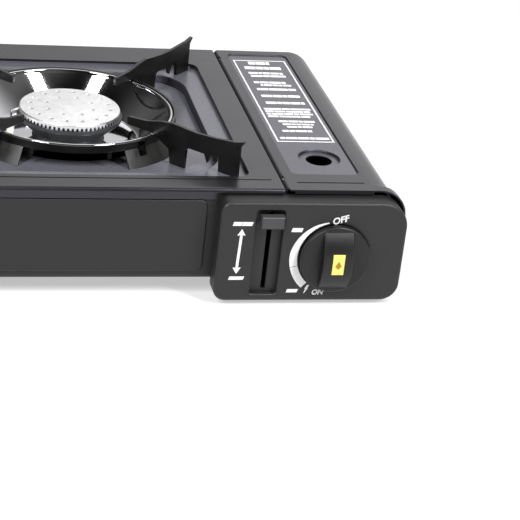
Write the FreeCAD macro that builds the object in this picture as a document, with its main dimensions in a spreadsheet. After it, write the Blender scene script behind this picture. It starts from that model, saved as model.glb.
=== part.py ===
import FreeCAD, Part
import math
import os
import re
import Sketcher
from FreeCAD import Placement, Rotation, Vector

# Tabletop butane cassette stove, in millimetres, +Z up, standing on Z 0.
# X runs to the right with the canister bay at +X, and Y runs back from the control panel.

SIZES = {
    # Outline of the body
    "left_edge": -170, "right_edge": 166, "front_edge": -119.5, "back_edge": 144,
    "top_level": 77.3, "sheet": 1, "seam": 86.6, "corner": 10, "flange_drop": 7.3,
    # Inner walls and floors
    "wall_front": -118, "wall_back": 142.8, "wall_left": -168.8, "wall_corner": 9,
    "floor_level": 12.5, "bay_wall": 70, "bay_floor": 4, "bay_right": 164, "bay_top": 71,
    "bay_side_top": 50, "floor_bend": 3, "bay_bend": 10,
    # Raised panel on the front wall
    "emboss_left": -152, "emboss_right": 37, "emboss_low": 18.4, "emboss_high": 69.3,
    "emboss_round": 5,
    # Drip tray and burner opening of the top plate
    "tray_left": -146.5, "tray_right": 68, "tray_front": -99, "tray_back": 110,
    "tray_depth": 3.3, "tray_round": 8, "front_bead": -104.8, "bead_width": 1.4,
    "burner_x": -39, "burner_y": 5.5, "burner_hole": 60.5, "well_half": 92, "well_round": 30,
    "well_level": 67.5, "well_bend": 1.2,
    # Pan support, on radii about the burner
    "ring_inner": 72, "ring_outer": 73.5, "ring_low": 78.3, "ring_high": 83.4,
    "skirt_start": 23.4, "skirt_span": 36.2, "skirt_flare": 7.5, "stand_gap": 0.15,
    "arm_thick": 2.4, "arm_tip": 50, "arm_end": 140.5, "arm_under": 84.7,
    "leg_inner": 87, "leg_outer": 98.5, "heel_inner": 125.5, "pan_level": 100,
    # Burner and bowl, on radii about the burner
    "cap_radius": 34.7, "cap_low": 77.8, "cap_high": 82, "port_count": 70,
    "port_width": 1.4, "port_height": 1.8, "flange_radius": 36.2, "bowl_rim": 69.9,
    "bowl_bead": 1.3, "bowl_level": 83.4, "bowl_floor": 60, "bowl_seat": 38,
    "chamber_radius": 22, "chamber_low": 27, "gas_level": 40,
    # Control panel
    "panel_left": 43.2, "panel_right": 168.5, "panel_low": 3, "panel_high": 73.5, "panel_front": -132,
    "panel_wall": 2, "trough_left": 67, "trough_right": 85, "trough_low": 8,
    "trough_high": 68, "trough_depth": 4, "slot_x": 76.6, "slot_width": 3.2,
    "slot_low": 10.5, "slot_high": 66,
    # Knob and valve
    "knob_x": 121.2, "knob_z": 35.2, "knob_radius": 23.5, "knob_front": -143.7,
    "grip_width": 20, "spindle": 6, "marker_width": 7.8, "marker_high": 14,
    # Canister, regulator and clamp
    "can_x": 125.5, "can_z": 40, "can_radius": 33.5, "regulator_radius": 25,
    "clamp_y": -71,
    # Locking lever, a plate in a plane of constant X
    "pivot_y": -55, "pivot_z": 41, "lever_thick": 2, "tab_x": 76.9, "tab_width": 15.2, "tab_z": 60.9,
    "tab_high": 8.7, "tab_front": -136.5, "lever_rise": 14.5, "crank": 14,
    # Canister lid
    "hinge_x": 90.2, "hinge_z": 74.6, "curl": 2.7, "shoulder": 19.5, "lid_side_low": 42,
    "rim_right": 170, "rim_shoulder": 18.5, "rim_start": -112, "rim_end": -108.4,
    "sunk_left": 97, "sunk_right": 142.5, "sunk_front": -93.5, "sunk_back": 134, "crease": -108.4,
    "dish_x": 122.5, "dish_y": -64, "dish_radius": 13.9, "dish_depth": 2, "finger_hole": 9,
}

doc = FreeCAD.newDocument("CassetteStove")
sheet = doc.addObject("Spreadsheet::Sheet", "Dimensions")
for row, (name, size) in enumerate(SIZES.items(), 1):
    sheet.set(f"A{row}", name)
    sheet.set(f"B{row}", str(size))
    sheet.setAlias(f"B{row}", name)
doc.recompute()


def number(size):
    """Value of a size, which is a number or an expression in the sheet's names."""
    return float(sheet.evalExpression(size)) if isinstance(size, str) else float(size)


def bind(thing, field, size):
    """Set a property or constraint from a size, bound to the sheet where it names a cell."""
    if isinstance(size, str):
        full = re.sub(r"[a-z_]+", lambda word: ("Dimensions." if word[0] in SIZES else "") + word[0], size)
        thing.setExpression(field, full)
    else:
        thing.setExpression(field, str(size))


# Outlines, drawn in a sketch with every point placed from the sketch's origin

def path(*steps):
    """Closed outline through steps (x, y), or (x, y, bend) for an arc of that radius,
    which turns left where bend is positive."""
    def draw(sketch):
        first = sketch.GeometryCount
        points = [(number(step[0]), number(step[1])) for step in steps]
        for index, step in enumerate(steps):
            start, end = Vector(*points[index - 1], 0), Vector(*points[index], 0)
            if len(step) == 2:
                sketch.addGeometry(Part.LineSegment(start, end), False)
                continue
            bend = number(step[2])
            chord = end - start
            rise = math.sqrt(max(bend * bend - chord.Length ** 2 / 4, 0))
            side = Vector(-chord.y, chord.x, 0).normalize() * math.copysign(1, bend)
            centre = (start + end) * 0.5 + side * rise
            middle = centre - side * abs(bend)
            sketch.addGeometry(Part.Arc(start, middle, end), False)
        for index, step in enumerate(steps):
            edge, after = first + index, first + (index + 1) % len(steps)
            turned = len(step) == 3 and number(step[2]) < 0
            tail = 1 if turned else 2
            head = 2 if len(steps[after - first]) == 3 and number(steps[after - first][2]) < 0 else 1
            sketch.addConstraint(Sketcher.Constraint("Coincident", edge, tail, after, head))
            for kind, axis in (("DistanceX", 0), ("DistanceY", 1)):
                rule = Sketcher.Constraint(kind, -1, 1, edge, tail, points[index][axis])
                bind(sketch, f"Constraints[{sketch.addConstraint(rule)}]", step[axis])
            if len(step) == 3:
                rule = sketch.addConstraint(Sketcher.Constraint("Radius", edge, abs(number(step[2]))))
                size = f"abs({step[2]})" if isinstance(step[2], str) else abs(step[2])
                bind(sketch, f"Constraints[{rule}]", size)
    return draw


def box(left, low, right, high):
    """Rectangle between two corners."""
    return path((left, low), (right, low), (right, high), (left, high))


def round_box(left, low, right, high, bend):
    """Rectangle with four equal rounded corners."""
    return path((f"{left} + {bend}", low, bend), (f"{right} - ({bend})", low),
                (right, f"{low} + {bend}", bend), (right, f"{high} - ({bend})"),
                (f"{right} - ({bend})", high, bend), (f"{left} + {bend}", high),
                (left, f"{high} - ({bend})", bend), (left, f"{low} + {bend}"))


def disc(x, y, radius):
    """Circle."""
    def draw(sketch):
        edge = sketch.addGeometry(Part.Circle(Vector(number(x), number(y), 0), Vector(0, 0, 1),
                                              number(radius)), False)
        for kind, place in (("DistanceX", x), ("DistanceY", y)):
            rule = Sketcher.Constraint(kind, -1, 1, edge, 3, number(place))
            bind(sketch, f"Constraints[{sketch.addConstraint(rule)}]", place)
        rule = sketch.addConstraint(Sketcher.Constraint("Radius", edge, number(radius)))
        bind(sketch, f"Constraints[{rule}]", radius)
    return draw


# Places of the control panel's screw posts, and starts of the hinge ears along Y
POSTS = [("panel_left + 9", "panel_low + 18"), ("panel_left + 9", "panel_high - 11"),
         ("bay_right - 14", "panel_low + 13"), ("bay_right - 18", "panel_high - 13")]
HINGE_STARTS = [-101, 124]


class Piece:
    """One piece of the stove: a body with features along the X, Y and Z axes."""

    pieces = []

    def __init__(self, label, x=0, y=0, z=0, turn=0):
        self.body = doc.addObject("PartDesign::Body", label)
        self.body.Label = label
        self.body.Placement = Placement(Vector(0, 0, 0), Rotation(Vector(0, 0, 1), turn))
        for axis, place in zip("xyz", (x, y, z)):
            bind(self.body, f"Placement.Base.{axis}", place)
        Piece.pieces.append(self.body)

    def sketch(self, across, start, outlines):
        """Sketch square to the axis named across, at start along that axis."""
        role = {"X": "YZ_Plane", "Y": "XZ_Plane", "Z": "XY_Plane"}[across]
        plane = next(item for item in self.body.Origin.OriginFeatures if item.Role == role)
        drawn = self.body.newObject("Sketcher::SketchObject", "Outline")
        drawn.AttachmentSupport = (plane, "")
        drawn.MapMode = "FlatFace"
        bind(drawn, "AttachmentOffset.Base.z", f"-({start})" if across == "Y" else start)
        for outline in outlines:
            outline(drawn)
        return drawn

    def feature(self, kind, drawn):
        made = self.body.newObject(f"PartDesign::{kind}", kind)
        made.Profile = drawn
        return made

    def pad(self, across, start, length, *outlines):
        """Add outlines from start, length along the positive axis."""
        made = self.feature("Pad", self.sketch(across, start, outlines))
        made.Reversed = across == "Y"
        bind(made, "Length", length)
        return made

    def cut(self, across, start, length, *outlines):
        """Take outlines away from start, length along the positive axis."""
        made = self.feature("Pocket", self.sketch(across, start, outlines))
        made.Reversed = across != "Y"
        bind(made, "Length", length)
        return made

    def loft(self, across, start, outline, end, other):
        """Blend between two outlines of equal count, one at start and the other at end."""
        made = self.feature("AdditiveLoft", self.sketch(across, start, [outline]))
        made.Sections = [self.sketch(across, end, [other])]
        made.Ruled = True
        return made

    def spin(self, axis, outline):
        """Turn an outline of (radius, z) about Z, or (along, radius) about X or Y."""
        drawn = self.sketch("X" if axis == "Y" else "Y", 0, [outline])
        made = self.feature("Revolution", drawn)
        made.ReferenceAxis = (drawn, ["V_Axis" if axis == "Z" else "H_Axis"])
        made.Angle = 360
        return made

    def repeat(self, feature, kind, axis, spread, count):
        """Polar or linear pattern of one feature: spread is the full angle or length."""
        role = f"{axis}_Axis"
        line = next(item for item in self.body.Origin.OriginFeatures if item.Role == role)
        made = self.body.newObject(f"PartDesign::{kind}Pattern", f"{kind}Pattern")
        made.Originals = [feature]
        setattr(made, "Axis" if kind == "Polar" else "Direction", (line, [""]))
        bind(made, "Angle" if kind == "Polar" else "Length", spread)
        bind(made, "Occurrences", count)
        self.body.Tip = made
        return made

    def round(self, bend, pick, kind="Fillet"):
        """Fillet or chamfer the edges that pick accepts by their centre and length."""
        doc.recompute()
        tip = self.body.Tip
        names = [f"Edge{index}" for index, edge in enumerate(tip.Shape.Edges, 1)
                 if pick(edge.CenterOfMass, edge.Length, edge.BoundBox)]
        made = self.body.newObject(f"PartDesign::{kind}", kind)
        made.Base = (tip, names)
        bind(made, "Radius" if kind == "Fillet" else "Size", bend)
        return made


def near(value, size, slack=0.05):
    """True where a value lies within the slack of a size."""
    return abs(value - number(size)) < slack


def flat_on(box, axis, level):
    """True for an edge that lies whole in one plane square to an axis."""
    low, high = getattr(box, axis + "Min"), getattr(box, axis + "Max")
    return near(low, level) and near(high, level)


def rod(label, radius, points, bends):
    """Round rod along straight runs and tangent arcs, one bend radius for each inner point."""
    corners = [Vector(*[number(value) for value in point]) for point in points]
    edges = []
    here = corners[0]
    for before, corner, after, bend in zip(corners, corners[1:], corners[2:], bends):
        inward, outward = (corner - before).normalize(), (after - corner).normalize()
        half = inward.getAngle(outward) / 2
        reach = number(bend) * math.tan(half)
        start, end = corner - inward * reach, corner + outward * reach
        middle = corner + (outward - inward).normalize() * (number(bend) / math.cos(half) - number(bend))
        edges += [Part.LineSegment(here, start).toShape(), Part.Arc(start, middle, end).toShape()]
        here = end
    edges.append(Part.LineSegment(here, corners[-1]).toShape())
    spine = Part.Wire(edges)
    ring = Part.Circle(corners[0], corners[1] - corners[0], number(radius)).toShape()
    made = doc.addObject("Part::Feature", label)
    made.Label = label
    made.Shape = spine.makePipeShell([Part.Wire(ring)], True, False)
    made.Placement = Placement()
    expected = math.pi * number(radius) ** 2 * spine.Length
    print(label, "bends", [number(bend) for bend in bends], "volume over expected",
          round(made.Shape.Volume / expected, 3))
    Piece.pieces.append(made)
    return made


def body_shell():
    """Folded sheet: floor, front wall with its raised panel, left and rear walls with vents."""
    shell = Piece("body_shell")
    height = "top_level - sheet - floor_level"
    shell.pad("Z", "floor_level", height, path(
        ("bay_wall", "wall_front"), ("bay_wall", "wall_back"), ("wall_left + wall_corner", "wall_back"),
        ("wall_left", "wall_back - wall_corner", "wall_corner"),
        ("wall_left", "wall_front + wall_corner"),
        ("wall_left + wall_corner", "wall_front", "wall_corner")))
    shell.round("floor_bend", lambda at, length, span: flat_on(span, "Z", "floor_level")
                and not flat_on(span, "X", "bay_wall"))
    inner = "wall_corner - sheet"
    shell.cut("Z", "floor_level + sheet", height, path(
        ("bay_wall + 1", "wall_front + sheet"), ("bay_wall + 1", "wall_back - sheet"),
        ("wall_left + wall_corner", "wall_back - sheet"),
        ("wall_left + sheet", "wall_back - wall_corner", inner),
        ("wall_left + sheet", "wall_front + wall_corner"),
        ("wall_left + wall_corner", "wall_front + sheet", inner)))
    shell.pad("Y", "front_edge", "wall_front - front_edge",
              round_box("emboss_left", "emboss_low", "emboss_right", "emboss_high", "emboss_round"))
    shell.round(1, lambda at, length, span: flat_on(span, "Y", "front_edge"))
    shell.cut("Y", "front_edge + sheet", 5,
              round_box("emboss_left + 1", "emboss_low + 1", "emboss_right - 1", "emboss_high - 1",
                        "emboss_round - 1"))
    shell.cut("Y", "wall_front - 1", 3, *[disc(x, z, 1.6) for x, z in POSTS[:2]])
    side_vent = shell.cut("X", "wall_left - 1", 3, round_box(-50, 30, -46, 60, 1.9))
    shell.repeat(side_vent, "Linear", "Y", 120, 11)
    rear_vent = shell.cut("Y", "wall_back - 2", 3, round_box(-110, 30, -106, 60, 1.9))
    shell.repeat(rear_vent, "Linear", "X", 150, 11)
    floor_vent = shell.cut("Z", "floor_level - 1", 3, round_box(-104, -50, -76, -45, 2.4))
    shell.repeat(floor_vent, "Linear", "Y", 100, 7)
    floor_vent = shell.cut("Z", "floor_level - 1", 3, round_box(-2, -10, 26, -5, 2.4))
    shell.repeat(floor_vent, "Linear", "Y", 90, 6)


def top_plate():
    """Enamelled top: turned-down edges, drip tray, deep square well about the burner, bead."""
    plate = Piece("top_plate")
    low = "top_level - flange_drop"
    plate.pad("Z", low, "flange_drop", path(
        ("seam", "front_edge"), ("seam", "back_edge"), ("left_edge + corner", "back_edge"),
        ("left_edge", "back_edge - corner", "corner"), ("left_edge", "front_edge + corner"),
        ("left_edge + corner", "front_edge", "corner")))
    plate.round(2.5, lambda at, length, span: flat_on(span, "Z", "top_level")
                and not flat_on(span, "X", "seam"))
    inner = "corner - sheet"
    floor = "top_level - tray_depth - sheet"
    plate.cut("Z", "top_level - 9", f"{floor} - top_level + 9", path(
        ("seam - sheet", "front_edge + sheet"), ("seam - sheet", "back_edge - sheet"),
        ("left_edge + corner", "back_edge - sheet"),
        ("left_edge + sheet", "back_edge - corner", inner),
        ("left_edge + sheet", "front_edge + corner"),
        ("left_edge + corner", "front_edge + sheet", inner)))
    plate.cut("Z", f"{floor} - 0.1", "tray_depth + 0.1", path(
        ("seam - sheet", "front_edge + sheet"), ("seam - sheet", "back_edge - sheet"),
        ("left_edge + corner", "back_edge - sheet"),
        ("left_edge + sheet", "back_edge - corner", inner),
        ("left_edge + sheet", "front_edge + corner"),
        ("left_edge + corner", "front_edge + sheet", inner)),
        round_box("tray_left - sheet", "tray_front - sheet", "tray_right + sheet", "tray_back + sheet",
                  "tray_round"))
    plate.cut("Z", "top_level - tray_depth", "tray_depth + 1",
              round_box("tray_left", "tray_front", "tray_right", "tray_back", "tray_round"))
    plate.cut("Z", "top_level - 0.5", 1,
              box("tray_left", "front_bead", "seam - 6", "front_bead + bead_width"))
    # The well is drawn from the tray's floor, and the pan support stands on its bottom
    def well(extra):
        half = f"(well_half + {extra})"
        return round_box(f"burner_x - {half}", f"burner_y - {half}", f"burner_x + {half}",
                         f"burner_y + {half}", f"well_round + {extra}")

    plate.pad("Z", "well_level - sheet", f"{floor} + 0.5 * sheet - well_level + sheet", well("sheet"))
    plate.cut("Z", "well_level", "top_level - well_level", well("0"))
    plate.round("well_bend", lambda at, length, span: flat_on(span, "Z", "top_level - tray_depth")
                and abs(at.x - number("burner_x")) < number("well_half + 1")
                and abs(at.y - number("burner_y")) < number("well_half + 1"))
    plate.cut("Z", "well_level - 2 * sheet", 9, disc("burner_x", "burner_y", "burner_hole"))
    # The right edge and the front edge over the control panel turn down only 3 mm
    plate.cut("Z", "top_level - 9", 6, box("seam - 8", "front_edge + 1", "seam + 1", "back_edge + 1"),
              box("panel_left - 1", "front_edge - 1", "seam + 1", "front_edge + 1.5"))


def bay_tray():
    """Canister bay: lowered floor, low outer wall, end walls with the valve and lever openings."""
    tray = Piece("bay_tray")
    tray.pad("Y", "wall_front", "wall_back - wall_front", path(
        ("bay_wall", "bay_floor"), ("bay_right - bay_bend", "bay_floor"),
        ("bay_right", "bay_floor + bay_bend", "bay_bend"), ("bay_right", "bay_top - 18"),
        ("bay_right - 18", "bay_top", 18), ("bay_wall", "bay_top")))
    inside = "wall_back - wall_front - 2 * sheet"
    tray.cut("Y", "wall_front + sheet", inside, path(
        ("bay_wall + sheet", "bay_floor + sheet"), ("bay_right - bay_bend", "bay_floor + sheet"),
        ("bay_right - sheet", "bay_floor + bay_bend", "bay_bend - sheet"),
        ("bay_right - sheet", "bay_top + 9"), ("bay_wall + sheet", "bay_top + 9")))
    tray.cut("Y", "wall_front + sheet + 8", f"{inside} - 16",
             box("bay_right - 20", "bay_side_top", "bay_right + 1", "bay_top + 1"))
    tray.cut("Y", "wall_front + sheet", inside,
             box("bay_wall - 1", "floor_level", "bay_wall + sheet + 0.5", "bay_top + 1"))
    tray.cut("Y", "wall_front - 1", 3, *[disc(x, z, 1.6) for x, z in POSTS[2:]])
    tray.cut("Y", "wall_front - 1", 3, disc("knob_x", "knob_z", 11),
             box("slot_x - 4", "slot_low - 4", "slot_x + 4", "slot_high + 4"))
    vent = tray.cut("Z", "bay_floor - 1", 3, round_box("can_x - 20", -40, "can_x - 6", -36, 1.9))
    tray.repeat(vent, "Linear", "Y", 130, 8)
    vent = tray.cut("Z", "bay_floor - 1", 3, round_box("can_x + 6", -40, "can_x + 20", -36, 1.9))
    tray.repeat(vent, "Linear", "Y", 130, 8)


def bay_partition():
    """Heat shield between burner and canister, with a flange that carries the top plate."""
    wall = Piece("bay_partition")
    wall.pad("Y", "wall_front + sheet", "wall_back - wall_front - 2 * sheet", path(
        ("bay_wall", "floor_level"), ("bay_wall + sheet", "floor_level"),
        ("bay_wall + sheet", "top_level - 2 * sheet"), ("bay_wall + 3.5", "top_level - 2 * sheet"),
        ("bay_wall + 3.5", "top_level - sheet"), ("bay_wall", "top_level - sheet")))
    wall.cut("X", "bay_wall - 1", 3, disc(-36.3, "gas_level", 12), disc(-104, 65, 4))
    vent = wall.cut("X", "bay_wall - 1", 3, round_box(10, 24, 14, 58, 1.9))
    wall.repeat(vent, "Linear", "Y", 110, 12)


def control_panel():
    """Moulded front cover: rounded outline, lever trough and slot, knob recess, screw posts."""
    panel = Piece("control_panel")
    depth = "wall_front - panel_front"

    def outline(inset):
        left, right = f"panel_left + {inset}", f"panel_right - {inset}"
        low, high = f"panel_low + {inset}", f"panel_high - {inset}"
        return path(
            (f"{left} + 8 - {inset}", low, f"8 - {inset}"), (f"{right} - 12 + {inset}", low),
            (right, f"{low} + 12 - {inset}", f"12 - {inset}"), (right, f"{high} - 18 + {inset}"),
            (f"{right} - 18 + {inset}", high, f"18 - {inset}"), (f"{left} + 7 - {inset}", high),
            (left, f"{high} - 7 + {inset}", f"7 - {inset}"), (left, f"{low} + 8 - {inset}"))

    panel.pad("Y", "panel_front", depth, outline("0"))
    panel.round(2.2, lambda at, length, span: flat_on(span, "Y", "panel_front"))
    panel.cut("Y", "panel_front + panel_wall", depth, outline("panel_wall"))
    panel.pad("Y", "panel_front + 1", "trough_depth + panel_wall - 1",
              box("trough_left - 2", "trough_low - 2", "trough_right + 2", "trough_high + 2"))
    panel.pad("Y", "panel_front + 1", f"{depth} - 1", *[disc(x, z, 4) for x, z in POSTS])
    panel.cut("Y", "wall_front - 8", 9, *[disc(x, z, 1.5) for x, z in POSTS])
    panel.cut("Y", "panel_front - 1", "trough_depth + 1",
              round_box("trough_left", "trough_low", "trough_right", "trough_high", 2))
    panel.round(1.2, lambda at, length, span: flat_on(span, "Y", "panel_front")
                and number("trough_left - 0.1") < at.x < number("trough_right + 0.1"))
    panel.cut("Y", "panel_front - 1", 9,
              box("slot_x - slot_width / 2", "slot_low", "slot_x + slot_width / 2", "slot_high"))
    panel.cut("Y", "panel_front - 1", 2, disc("knob_x", "knob_z", "knob_radius + 0.7"))
    panel.cut("Y", "panel_front - 1", 9, disc("knob_x", "knob_z", 7))

    screws = Piece("panel_screws")
    screws.pad("Y", "wall_front - 7", "7 + sheet", *[disc(x, z, 1.4) for x, z in POSTS])
    screws.pad("Y", "wall_front + sheet", 2, *[disc(x, z, 3) for x, z in POSTS])


def feet():
    """Rubber feet: tall ones under the floor, low ones under the lowered bay."""
    places = {"front_left": (-145, -98, "floor_level"), "rear_left": (-145, 122, "floor_level"),
              "front_right": (140, -98, "bay_floor"), "rear_right": (140, 122, "bay_floor")}
    for name, (x, y, level) in places.items():
        foot = Piece(f"foot_{name}", x, y)
        foot.spin("Z", path((0, 0), (7.2, 0), (8, 0.8, 0.8), (9, level), (0, level)))
        foot.cut("Z", -1, 2, disc(0, 0, 3))


def burner():
    """Cast burner base, ported cap, mixing tube, jet, pipe, bracket and electrode."""
    run = math.degrees(math.atan2(-43, 112))
    base = Piece("burner_base", "burner_x", "burner_y", 0, run)
    base.spin("Z", path(
        ("chamber_radius - 2", "chamber_low + 2"), ("chamber_radius - 2", 54), (22, 58),
        (22, 64), (34, 76), (34, "cap_low"), ("flange_radius", "cap_low"),
        ("flange_radius", "cap_low - 1.8"), (36, "cap_low - 2.6"), (24.5, 65),
        (24.5, "bowl_floor"), (33, "bowl_floor"), (33, "bowl_floor - 3"), ("chamber_radius", 53),
        ("chamber_radius", "chamber_low"), (0, "chamber_low"), (0, "chamber_low + 2")))
    base.pad("X", "chamber_radius - 4", 8, disc(0, "gas_level", 12))
    base.cut("X", 12, 20, disc(0, "gas_level", 10))

    cap = Piece("burner_cap", "burner_x", "burner_y")
    cap.spin("Z", path(
        ("cap_radius - 2", "cap_low"), ("cap_radius", "cap_low"), ("cap_radius", "cap_high - 0.8"),
        ("cap_radius - 0.8", "cap_high", 0.8), (0, "cap_high + 1"), (0, "cap_high - 1"),
        ("cap_radius - 2", "cap_high - 1.6")))
    port = cap.cut("X", "cap_radius - 3", 4,
                   box("-port_width / 2", "cap_low - 1", "port_width / 2", "cap_low + port_height"))
    cap.repeat(port, "Polar", "Z", 360, "port_count")

    tube = Piece("mixing_tube", "burner_x", "burner_y", "gas_level", run)
    tube.spin("X", path((16, 8.8), (90, 8.8), (103, 11.5), (103, 12.5), (90, 10), (16, 10)))
    tube.cut("Z", -20, 40, round_box(84, -3, 92, 3, 2.9))

    jet = Piece("jet_nozzle", "burner_x", "burner_y", "gas_level", run)
    jet.spin("X", path((96, 0.5), (98, 1.2), (98, 2), (103, 3), (103, 4.4), (113, 4.4), (113, 2.6),
                       (104, 2.6), (104, 0.5)))

    direction = Vector(math.cos(math.radians(run)), math.sin(math.radians(run)), 0)
    centre = Vector(number("burner_x"), number("burner_y"), number("gas_level"))
    pipe_x = 84
    turn_in = centre + direction * ((pipe_x - centre.x) / direction.x)
    pipe_end = centre + direction * 105
    rod("gas_pipe", 2.5, [(98, -104, "gas_level"), (pipe_x, -104, "gas_level"), tuple(turn_in),
                          tuple(pipe_end)], [9, 8])

    bracket = Piece("burner_bracket", "burner_x", "burner_y")
    floor, top = "floor_level + sheet", "chamber_low"
    bracket.pad("Y", -16, 32, path(
        (-52, floor), (-36, floor), (-36, f"{top} - 1.2"), (36, f"{top} - 1.2"), (36, floor),
        (52, floor), (52, f"{floor} + 1.2"), (37.2, f"{floor} + 1.2"), (37.2, top), (-37.2, top),
        (-37.2, f"{floor} + 1.2"), (-52, f"{floor} + 1.2")))
    bracket.cut("Z", "floor_level", 5, disc(-45, 0, 2), disc(45, 0, 2))
    screws = Piece("bracket_screws", "burner_x", "burner_y")
    screws.pad("Z", "floor_level + sheet", 1.2, disc(-45, 0, 1.9), disc(45, 0, 1.9))
    screws.pad("Z", "floor_level + sheet + 1.2", 2, disc(-45, 0, 3.6), disc(45, 0, 3.6))


def electrode_parts():
    """Spark electrode beside the burner, its clip, the clicker and the lead between them."""
    angle, reach = math.radians(200), 44
    x = number("burner_x") + reach * math.cos(angle)
    y = number("burner_y") + reach * math.sin(angle)
    clip = Piece("electrode_clip", "burner_x", "burner_y", 0, 200)
    clip.pad("Z", "bowl_floor - 1.2", 1.2, box(34, -6, 50, 6))
    clip.cut("Z", "bowl_floor - 2", 3, disc(reach, 0, 2.6))
    ceramic = Piece("electrode_ceramic", x, y)
    ceramic.spin("Z", path((0.9, 54), (2.6, 54), (2.6, 74), (1.8, 77), (0.9, 77)))
    rod("electrode_wire", 0.9, [(x, y, 52), (x, y, 84),
                                (x + 5.5, y + 2, 85.5)], [2])
    clicker = Piece("piezo_igniter", 104, -104, 65)
    clicker.spin("X", path((0, 0), (34, 0), (34, 6), (5, 6), (5, 4), (0, 4)))
    clicker.pad("Z", -9, 5, box(10, -5, 30, 5))
    rod("igniter_lead", 1.2, [(104, -104, 65), (62, -104, 65), (10, -96, 58), (-42, -74, 48),
                              (-72, -40, 44), (x, y, 40), (x, y, 52)], [30, 60, 50, 40, 9])


def reflector_bowl():
    """Bright steel bowl round the burner, with a rolled rim."""
    bowl = Piece("reflector_bowl", "burner_x", "burner_y")
    inner = "bowl_rim - bowl_bead"
    bowl.spin("Z", path(
        (25, "bowl_floor"), ("bowl_seat", "bowl_floor"),
        (f"{inner} + 0.8", "bowl_level - 6", 44), (f"{inner} + 0.8", "bowl_level - 2.6"),
        ("bowl_rim + bowl_bead", "bowl_level - bowl_bead", "bowl_bead + 0.4"),
        ("bowl_rim", "bowl_level", "bowl_bead"), (inner, "bowl_level - bowl_bead", "bowl_bead"),
        (inner, "bowl_level - 6"), ("bowl_seat", "bowl_floor + 0.8", -43.2), (25, "bowl_floor + 0.8")))
    angle = math.radians(200)
    bowl.cut("Z", "bowl_floor - 1", 9, disc(44 * math.cos(angle), 44 * math.sin(angle), 3.4))


def pan_support():
    """Black pan support: a ring on four flared skirts, and four arms that stand on the tray."""
    well = "well_level + stand_gap"
    tray = "top_level - tray_depth + stand_gap"
    ring = Piece("pan_support_ring", "burner_x", "burner_y", 0, number("skirt_start"))
    ring.spin("Z", box("ring_inner", "ring_low", "ring_outer", "ring_high"))
    skirt = ring.spin("Z", path(
        ("ring_inner", "ring_low + 0.5"), ("ring_inner", "ring_low"), ("ring_inner + skirt_flare", well),
        ("ring_outer + skirt_flare", well), ("ring_outer", "ring_low"), ("ring_outer", "ring_low + 0.5")))
    bind(skirt, "Angle", "skirt_span")
    ring.repeat(skirt, "Polar", "Z", 360, 4)
    # Small tabs of the ring beside the skirts
    for turn in (math.radians(-8.4), math.radians(40.6)):
        x, y = 72.75 * math.cos(turn), 72.75 * math.sin(turn)
        tab = ring.pad("Z", "ring_low - 4", 4.5, disc(x, y, 1.5))
        ring.repeat(tab, "Polar", "Z", 360, 4)
    # A window beside each arm, through the ring's lower part and the top of the skirt
    left, right = math.radians(8.2), math.radians(13)
    window = ring.cut("Z", "ring_low - 4.8", 8.9, path(
        *[(radius * math.cos(turn), radius * math.sin(turn))
          for radius, turn in ((70, left), (82, left), (82, right), (70, right))]))
    ring.repeat(window, "Polar", "Z", 360, 4)
    for name, angle in (("front_right", -45), ("rear_right", 45), ("rear_left", 135),
                        ("front_left", 225)):
        arm = Piece(f"pan_arm_{name}", "burner_x", "burner_y", 0, angle)
        arm.pad("Y", "-arm_thick / 2", "arm_thick", path(
            ("arm_tip", "arm_under + 1"), ("arm_tip + 1", "arm_under", 1), ("ring_inner - 1.4", "arm_under"),
            ("ring_inner - 0.3", "ring_high"), ("ring_outer + 0.5", "ring_high"), ("leg_inner - 2", 77.5),
            ("leg_inner", well), ("leg_outer", well), ("leg_outer + 0.4", 80), ("leg_outer + 3.4", 82.8, -3),
            (113.6, 82.8), (116.2, 77.2), (118.8, 83.6), ("heel_inner - 2.4", 84.6),
            ("heel_inner - 0.6", 83, -2), ("heel_inner", tray), ("arm_end", tray), ("arm_end", 95.5),
            ("arm_end + 3", "pan_level - 0.5"), ("arm_end + 2", "pan_level"), (136.5, 98), (120.5, 96.1),
            (106.4, 95.2), (97.4, 95.5), (86.4, 96.2), (77.5, 94.7), (66, 91.6), ("arm_tip + 1", 90.2),
            ("arm_tip", 89.2, 1)))


def regulator():
    """Valve block, regulator with its socket and diaphragm cover, seal and locating pin."""
    block = Piece("gas_valve_body")
    block.pad("Y", -112, 18, round_box(101, 20, 143, 56, 4))
    block.pad("Y", -116, 4, disc("knob_x", "knob_z", 8))
    block.cut("Y", -117, 14, disc("knob_x", "knob_z", "spindle / 2 + 0.08"))
    block.pad("X", 98, 3, disc(-104, "gas_level", 5))

    main = Piece("regulator_body", "can_x", 0, "can_z")
    main.spin("Y", path((-94, 0), (-94, "regulator_radius - 1"), (-93, "regulator_radius", -1),
                        (-86, "regulator_radius"), (-84, "regulator_radius - 2"), (-84, 12), (-78, 12),
                        (-78, 7.5), (-88, 7.5), (-88, 3), (-91, 3), (-91, 0)))
    screws = Piece("regulator_screws", "can_x", 0, "can_z")
    head = screws.pad("Y", -84, 1.8, disc(12.8, 12.8, 3))
    screws.repeat(head, "Polar", "Y", 360, 4)
    seal = Piece("valve_seal", "can_x", 0, "can_z")
    seal.spin("Y", path((-88, 3.5), (-88, 7.4), (-85, 7.4), (-85, 3.5)))
    pin = Piece("locating_pin", "can_x", 0, "can_z + 15")
    pin.spin("Y", path((-84, 0), (-84, 2), (-76, 2), (-75, 1), (-75, 0)))
    cover = Piece("regulator_cover", 122, -105, 20)
    cover.spin("Z", path((0, -9), (4, -9), (5, -6), (9.5, -5), (11, -3, 2), (11, 0), (0, 0)))


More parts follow.
